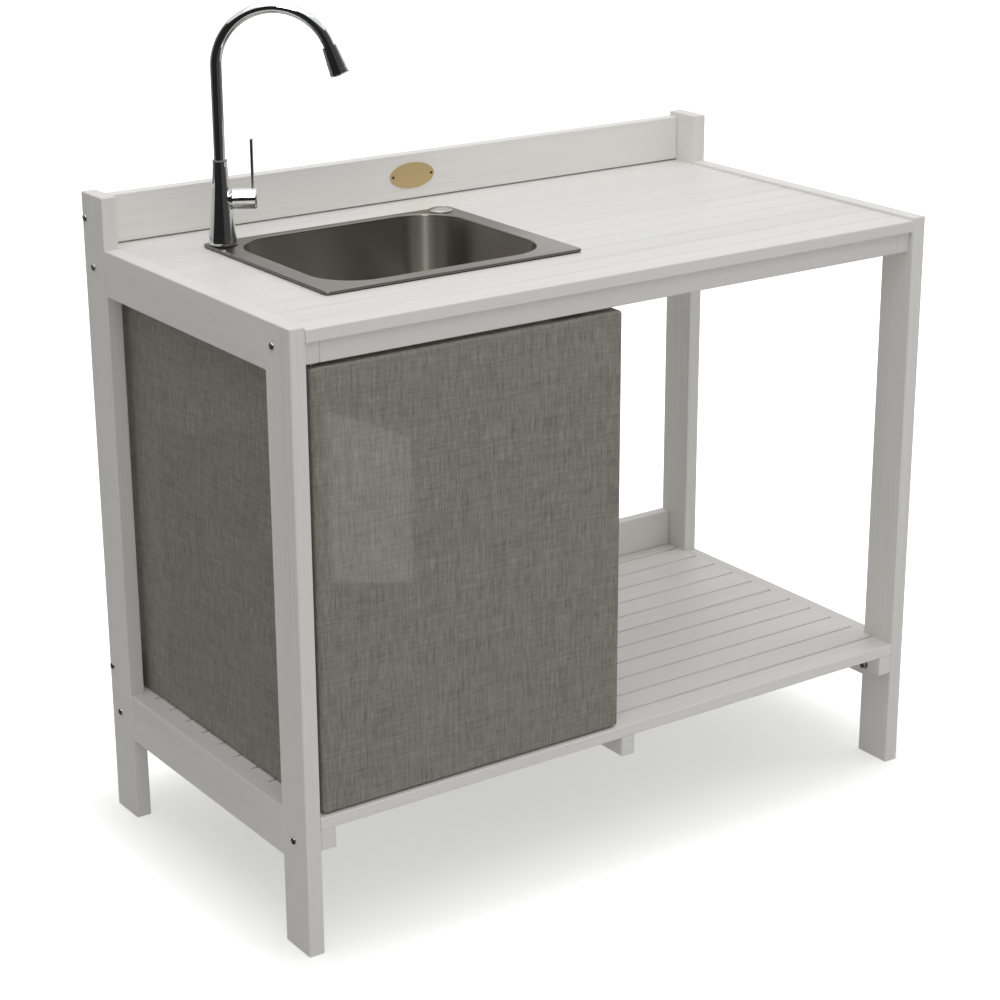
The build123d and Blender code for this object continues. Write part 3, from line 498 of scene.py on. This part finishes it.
def staple_row(name, node, show, free):
    """Staples that hold the turned-in cloth on the back of a board, all round, where the place is free."""
    sizes = bpy.context.scene.kitchen_sizes
    low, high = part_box(node)
    side = UP.cross(show)
    half = Vector((sizes.staple_width, CROWN_HIGH, CROWN_BROAD)) / 2
    model = start_block(name, -half, half)
    inner = half.x - LEG_BROAD
    for sign in (-1, 1):
        bpy.ops.mesh.select_all(action="SELECT")
        bpy.ops.mesh.bisect(plane_co=(sign * inner, 0, 0), plane_no=(1, 0, 0))
    pick(model, "FACE", lambda face: face.normal.y < -0.9 and abs(face.calc_center_median().x) > inner)
    bpy.ops.mesh.extrude_region_move(TRANSFORM_OT_translate={"value": (0, -LEG_LONG, 0)})
    pick(model, "EDGE", lambda edge: edge.is_manifold and edge.calc_face_angle() > 1.0)
    bpy.ops.mesh.bevel(offset=WIRE_ROUND, segments=2, affect="EDGES")
    bpy.ops.object.mode_set(mode="OBJECT")
    middle = (low + high) / 2
    middle += -show * ((high - low).dot(Vector([abs(c) for c in show])) / 2)
    wide = abs((high - low).dot(side)) / 2 - sizes.cloth_return / 2
    tall = (high - low).z / 2 - sizes.cloth_return / 2
    spots = []
    for run, other, direction, away in ((wide, tall, side, UP), (tall, wide, UP, side)):
        count = int(2 * run / sizes.staple_pitch)
        for sign in (-1, 1):
            for i in range(count):
                along = run * (2 * (i + 0.5) / count - 1)
                spots.append((middle + direction * along + away * sign * other, direction))
    copies = []
    for spot, direction in spots:
        if not free(spot):
            continue
        copy = model.copy()
        copy.data = model.data.copy()
        bpy.context.collection.objects.link(copy)
        axes = Matrix((direction, -show, direction.cross(-show))).transposed()
        copy.data.transform(Matrix.Translation(spot) @ axes.to_4x4())
        copies.append(copy)
    bpy.data.objects.remove(model)
    bpy.ops.object.select_all(action="DESELECT")
    for copy in copies:
        copy.select_set(True)
    bpy.context.view_layer.objects.active = copies[0]
    bpy.ops.object.join()
    row = bpy.context.object
    row.name = row.data.name = name
    return row


class KITCHEN_OT_timber(bpy.types.Operator):
    """Paint every timber piece, with the grain along each board"""

    bl_idname = "kitchen.timber"
    bl_label = "Paint Timber"

    def execute(self, context):
        # The way each board runs, and its painted light level: 0.92 paints shade on the apron, the worktop
        # battens and the sink trimmers under the worktop, 0.98 paints a little shade on the worktop slats, 1.04
        # paints extra light on the backsplash, the rear stretcher and the shelf slats, and 1.0 leaves the paint
        # as it is
        boards = {
            "front_leg": (ALONG_Z, 1.0),
            "rear_post": (ALONG_Z, 1.0),
            "top_rail": (ALONG_Y, 1.0),
            "bottom_rail": (ALONG_Y, 1.0),
            "worktop_batten": (ALONG_Y, 0.92),
            "sink_trimmer": (ALONG_Y, 0.92),
            "shelf_batten": (ALONG_Y, 1.0),
            "front_apron": (ALONG_X, 0.92),
            "backsplash": (ALONG_X, 1.04),
            "rear_stretcher": (ALONG_X, 1.04),
            "worktop_slats": (ALONG_X, 0.98),
            "shelf_slats": (ALONG_X, 1.04),
        }
        paints = {run: painted_pine(*run) for run in dict.fromkeys(boards.values())}
        for name in frame["nodes"]:
            for start, run in boards.items():
                if name.startswith(start):
                    paint_node(name, paints[run])
        return {"FINISHED"}


class KITCHEN_OT_covers(bpy.types.Operator):
    """Wrap the door and the side panel in cloth and staple it at the back"""

    bl_idname = "kitchen.covers"
    bl_label = "Wrap Door and Side Panel"

    def execute(self, context):
        colours, sizes = context.scene.kitchen_colours, context.scene.kitchen_sizes
        cloth = linen_cloth()
        wire = clouded("galvanised_wire", colours.zinc, 0.3, 0.08, 8 * MM, metallic=1.0)
        board = layered_board()
        strike_low, strike_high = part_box("door_strike_plate")
        room = sizes.staple_width

        def beside_strike(spot):
            return not all(strike_low[i] - room < spot[i] < strike_high[i] + room for i in range(3))

        def anywhere(spot):
            return True

        for panel, node, core, body, show, free in (
            ("door", "door_fabric", "door_core", "door", Vector((0, -1, 0)), beside_strike),
            ("side_panel", "side_panel_fabric", "side_panel_core", "base", Vector((-1, 0, 0)), anywhere),
        ):
            cover = wrap_board(f"{panel}_cover", node, show)
            cover.data.materials.append(cloth)
            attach(cover, body)
            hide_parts(node)
            finished.add(node)
            staples = staple_row(f"{panel}_staples", node, show, free)
            staples.data.materials.append(wire)
            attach(staples, body)
            paint_node(core, board)
        return {"FINISHED"}


class KITCHEN_OT_metalwork(bpy.types.Operator):
    """Finish the sink, tap, plate, fasteners, seals and drain"""

    bl_idname = "kitchen.metalwork"
    bl_label = "Finish Metalwork"

    def execute(self, context):
        colours = context.scene.kitchen_colours
        # Cold-rolled stainless steel: a satin bowl with upright streaks, and a rim of the same brushed steel
        # drawn in a darker colour, which is painted shade
        rim_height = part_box("sink")[1].z - RIM_DEEP
        steel = brushed_metal(
            "brushed_stainless", colours.steel, ALONG_Z, 0.3, 0.015,
            rim=(colours.rim, rim_height), stretch=0.88,
        )
        # Chrome plate polished to a mirror, with a faint haze of water spots
        chrome = clouded("polished_chrome", colours.chrome, 0.06, 0.02, 18 * MM, metallic=1.0, tint=0.04)
        # Rolled brass plate, brushed and lacquered
        brass = brushed_metal("lacquered_brass", colours.brass, ALONG_X, 0.4, 0.06, depth=0.1)
        # Zinc plate on steel fasteners: bright, with a little bloom
        zinc = clouded("bright_zinc", colours.zinc, 0.22, 0.05, 6 * MM, metallic=1.0)
        # Black nitrile rubber, moulded, dull
        rubber = clouded("nitrile_rubber", colours.rubber, 0.7, 0.1, 5 * MM, tint=0.25)
        # Injection moulded polypropylene, satin
        moulding = clouded("moulded_polypropylene", colours.moulding, 0.45, 0.06, 12 * MM, tint=0.06)
        # Turned beech, unfinished
        beech = clouded("turned_beech", colours.beech, 0.6, 0.06, 4 * MM, tint=0.3)
        finishes = {
            "stainless": steel, "chrome": chrome, "brass": brass, "plated_steel": zinc,
            "black_rubber": rubber, "grey_plastic": moulding, "beech_dowel": beech,
        }
        for row in frame["record"]["subparts"]:
            if row["material_slot"] in finishes:
                paint_node(row["node"], finishes[row["material_slot"]])
        # Bare brass pins, dulled by the weather, drawn dark brown as painted shade
        pin_shade = clouded("brass_pins_painted_shade", colours.pin_shade, 0.5, 0.05, 3 * MM, metallic=1.0)
        paint_node("oval_plate_pins", pin_shade)
        # The blank cap is plated over a blasted face, so it is greyer and softer than the tap
        satin = clouded("satin_chrome", colours.satin, 0.26, 0.04, 12 * MM, metallic=1.0, tint=0.06)
        paint_node("tap_hole_cap", satin)
        bare = sorted(set(frame["nodes"]) - finished)
        if bare:
            raise RuntimeError(f"no finish for {bare}")
        return {"FINISHED"}


# The studio


def lay_floor(stage, colours):
    """A floor that is white to the eye outside the table's footprint and dark in gloss. Inside the footprint it
    keeps the table's soft shadow, and it also glows less there than outside: a painted shadow in the
    footprint's shape."""
    bpy.ops.object.select_all(action="DESELECT")
    bpy.ops.mesh.primitive_plane_add(size=FLOOR_ACROSS, location=(0, 0, 0))
    floor = bpy.context.object
    floor.name = "studio_floor"
    material, tree = new_material("studio_floor")
    path = add(tree, "ShaderNodeLightPath")
    lit = add(tree, "ShaderNodeBsdfDiffuse", {"Color": opaque(colours.floor)}).outputs["BSDF"]
    right, rear, _ = CAD_BOX[1]
    place = add(tree, "ShaderNodeTexCoord").outputs["Object"]
    mirrored = add(tree, "ShaderNodeVectorMath", {0: place}, operation="ABSOLUTE").outputs["Vector"]
    apart = add(tree, "ShaderNodeVectorMath", {
        0: mirrored, 1: (right, rear, 0.0)
    }, operation="SUBTRACT").outputs["Vector"]
    sides = add(tree, "ShaderNodeSeparateXYZ", {"Vector": apart})
    away = add(tree, "ShaderNodeMath", {
        0: sides.outputs["X"], 1: sides.outputs["Y"]
    }, operation="MAXIMUM").outputs["Value"]
    # The floor's own light is floor_glow inside the footprint and rises to 1 just outside it: a painted shadow
    # over the footprint, on top of the lit shadow
    footprint_shadow_glow = add(tree, "ShaderNodeMapRange", {
        "Value": away, "From Min": SHADOW_FROM, "From Max": SHADOW_TO,
        "To Min": stage.floor_glow, "To Max": 1.0,
    }, interpolation_type="SMOOTHSTEP").outputs["Result"]
    level = add(tree, "ShaderNodeMath", {
        0: path.outputs["Is Camera Ray"], 1: footprint_shadow_glow
    }, operation="MULTIPLY").outputs["Value"]
    white = add(tree, "ShaderNodeEmission", {"Strength": level}).outputs["Emission"]
    shown = add(tree, "ShaderNodeAddShader", {0: lit, 1: white}).outputs["Shader"]
    dim = add(tree, "ShaderNodeEmission", {"Strength": FLOOR_IN_GLOSS}).outputs["Emission"]
    surface = add(tree, "ShaderNodeMixShader", {0: path.outputs["Is Glossy Ray"], 1: shown, 2: dim})
    add(tree, "ShaderNodeOutputMaterial", {"Surface": surface.outputs["Shader"]})
    floor.data.materials.append(material)


def hang_curtain(ahead, across):
    """A round dark curtain on the camera's side, which metal and the gloss of paint and cloth mirror."""
    bpy.ops.object.select_all(action="DESELECT")
    bpy.ops.mesh.primitive_cylinder_add(
        vertices=72, radius=CURTAIN_RADIUS, depth=CURTAIN_HIGH, end_fill_type="NOTHING",
        location=CURTAIN_MIDDLE,
    )
    bpy.ops.object.transform_apply(location=True, rotation=True, scale=True)
    curtain = bpy.context.object
    curtain.name = "dark_curtain"
    bpy.ops.object.mode_set(mode="EDIT")

    def turn(face):
        return math.degrees(math.atan2(face.normal.dot(across), -face.normal.dot(ahead)))

    # Each width of cloth from left to right, in degrees round from the camera's side, with its brightness
    for first, last, level in (
        (-125, -105, 0.3),
        (-105, -80, 0.1),
        (-80, 15, 0.02),
        (15, 75, 0.07),
        (75, 105, 0.12),
        (105, 125, 0.3),
    ):
        curtain.data.materials.append(glowing(f"curtain_{first}", level))
        pick(curtain, "FACE", lambda face: first <= turn(face) < last)
        curtain.active_material_index = len(curtain.data.materials) - 1
        bpy.ops.object.material_slot_assign()
    pick(curtain, "FACE", lambda face: face.normal.dot(ahead) > math.cos(CURTAIN_OPEN))
    bpy.ops.mesh.delete(type="FACE")
    bpy.ops.object.mode_set(mode="OBJECT")
    return curtain


def stand_flag():
    """A dark flag on the left, which keeps light from all round off that side only."""
    bpy.ops.object.select_all(action="DESELECT")
    bpy.ops.mesh.primitive_plane_add(size=1.0, location=FLAG_MIDDLE, rotation=(0, math.pi / 2, 0))
    bpy.ops.transform.resize(value=(1.0, FLAG_DEEP, FLAG_HIGH))
    bpy.ops.object.transform_apply(location=True, rotation=True, scale=True)
    flag = bpy.context.object
    flag.name = "dark_flag"
    return flag


def stand_cards(stage, ahead, across):
    """Two lit cards: one low in front, which the coating of the cloth mirrors as a pale patch high on the door,
    and one on the camera's side, which draws a bright upright streak in the round corner of the bowl."""
    low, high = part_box("sink")
    behind = (low + high) / 2 - ahead * BOWL_CARD_AWAY
    bowl_corners = [
        (*(behind + across * side).xy, height) for height in BOWL_CARD_HEIGHTS for side in BOWL_CARD_SIDES
    ]
    cards = []
    for name, level, corners in (
        ("door_card", stage.door_card, DOOR_CARD),
        ("bowl_card", stage.bowl_card, bowl_corners),
    ):
        bpy.ops.object.select_all(action="DESELECT")
        bpy.ops.mesh.primitive_plane_add(size=1.0)
        card = bpy.context.object
        card.name = name
        for vertex, corner in zip(card.data.vertices, corners):
            vertex.co = corner
        card.data.materials.append(glowing(name, level))
        cards.append(card)
    return cards


def show_only(screen, shown):
    """Let only one kind of ray meet a screen."""
    for ray in ("camera", "diffuse", "glossy", "transmission", "volume_scatter", "shadow"):
        setattr(screen, f"visible_{ray}", ray == shown)


def hang_lamps(scene, stage):
    """Four soft square lamps."""
    # Where each lamp hangs, where it aims, how wide it is and its power
    for name, at, aim, size, watts in (
        ("overhead_lamp", (-0.1, -0.1, 3.6), (0.0, 0.0, 0.6), 3.6, stage.overhead),
        ("front_left_lamp", (-1.5, -1.9, 3.3), (0.0, 0.0, 0.5), 2.0, stage.front_left),
        ("left_lamp", (-3.4, -0.6, 1.2), (0.0, 0.0, 0.5), 2.4, stage.left),
        ("right_lamp", (3.2, -1.2, 2.2), (0.0, 0.0, 0.5), 2.4, stage.right),
    ):
        lamp = bpy.data.lights.new(name, "AREA")
        lamp.shape = "SQUARE"
        lamp.size = size
        lamp.energy = watts
        holder = bpy.data.objects.new(name, lamp)
        holder.location = at
        holder.rotation_euler = (Vector(aim) - Vector(at)).to_track_quat("-Z", "Y").to_euler()
        scene.collection.objects.link(holder)


def light_surround(scene, stage):
    """Even light from all round, white to the eye, in mirrors and through glass."""
    world = bpy.data.worlds.new("studio")
    world.use_nodes = True
    tree = world.node_tree
    tree.nodes.clear()
    path = add(tree, "ShaderNodeLightPath")
    seen = path.outputs["Is Camera Ray"]
    for ray in ("Is Glossy Ray", "Is Transmission Ray"):
        seen = add(tree, "ShaderNodeMath", {
            0: seen, 1: path.outputs[ray]
        }, operation="MAXIMUM").outputs["Value"]
    level = add(tree, "ShaderNodeMapRange", {
        "Value": seen, "To Min": stage.surround, "To Max": 1.0
    }).outputs["Result"]
    light = add(tree, "ShaderNodeBackground", {"Color": (1.0, 1.0, 1.0, 1.0), "Strength": level})
    add(tree, "ShaderNodeOutputWorld", {"Surface": light.outputs["Background"]})
    scene.world = world


def place_camera(scene, stage):
    """The camera at the photograph's viewing angle."""
    camera = bpy.data.cameras.new("camera")
    camera.lens = stage.lens
    camera.sensor_width = FRAME_WIDE
    viewer = bpy.data.objects.new("camera", camera)
    viewer.location = stage.camera_at
    viewer.rotation_euler = (
        Matrix.Rotation(stage.heading, 3, "Z") @ Matrix.Rotation(math.pi / 2 - stage.dip, 3, "X")
        @ Matrix.Rotation(stage.roll, 3, "Z")
    ).to_euler()
    scene.collection.objects.link(viewer)
    scene.camera = viewer


class KITCHEN_OT_stage(bpy.types.Operator):
    """Set up the floor, the soft lamps and the camera"""

    bl_idname = "kitchen.stage"
    bl_label = "Set Up Stage"

    def execute(self, context):
        scene = context.scene
        stage, colours = scene.kitchen_stage, scene.kitchen_colours
        ahead = Vector((-math.sin(stage.heading), math.cos(stage.heading), 0.0))
        across = Vector((ahead.y, -ahead.x, 0.0))
        lay_floor(stage, colours)
        curtain = hang_curtain(ahead, across)
        flag = stand_flag()
        cards = stand_cards(stage, ahead, across)
        # Grey felt, dull all over
        felt, tree = new_material("grey_felt")
        shade(tree, {"Base Color": opaque(colours.felt), "Roughness": 1.0, "Specular IOR Level": 0.0})
        flag.data.materials.append(felt)
        show_only(curtain, "glossy")
        show_only(flag, "diffuse")
        for card in cards:
            show_only(card, "glossy")
        hang_lamps(scene, stage)
        light_surround(scene, stage)
        place_camera(scene, stage)
        scene.view_settings.view_transform = "Standard"
        return {"FINISHED"}


STEPS = (KITCHEN_OT_timber, KITCHEN_OT_covers, KITCHEN_OT_metalwork, KITCHEN_OT_stage)


class KITCHEN_PT_finishes(bpy.types.Panel):
    """The kitchen's finishing steps, sizes and colours"""

    bl_idname = "KITCHEN_PT_finishes"
    bl_label = "Outdoor Kitchen"
    bl_space_type = "VIEW_3D"
    bl_region_type = "UI"
    bl_category = "Kitchen"

    def draw(self, context):
        for group_name, kind in GROUPS.items():
            box = self.layout.box()
            for name in kind.__annotations__:
                box.prop(getattr(context.scene, group_name), name)
        for step in STEPS:
            self.layout.operator(step.bl_idname)


GROUPS = {"kitchen_colours": KitchenColours, "kitchen_sizes": KitchenSizes, "kitchen_stage": KitchenStage}


def register():
    """Add the classes and their settings to Blender."""
    for kind in (*GROUPS.values(), *STEPS, KITCHEN_PT_finishes):
        bpy.utils.register_class(kind)
    for name, kind in GROUPS.items():
        setattr(bpy.types.Scene, name, PointerProperty(type=kind))


def unregister():
    """Take the classes and their settings out again."""
    for name in GROUPS:
        delattr(bpy.types.Scene, name)
    for kind in (KITCHEN_PT_finishes, *reversed(STEPS), *reversed(tuple(GROUPS.values()))):
        bpy.utils.unregister_class(kind)


def main():
    """Dress the kitchen and set the stage."""
    register()
    bpy.ops.kitchen.timber()
    bpy.ops.kitchen.covers()
    bpy.ops.kitchen.metalwork()
    bpy.ops.kitchen.stage()


if __name__ == "__main__":
    main()
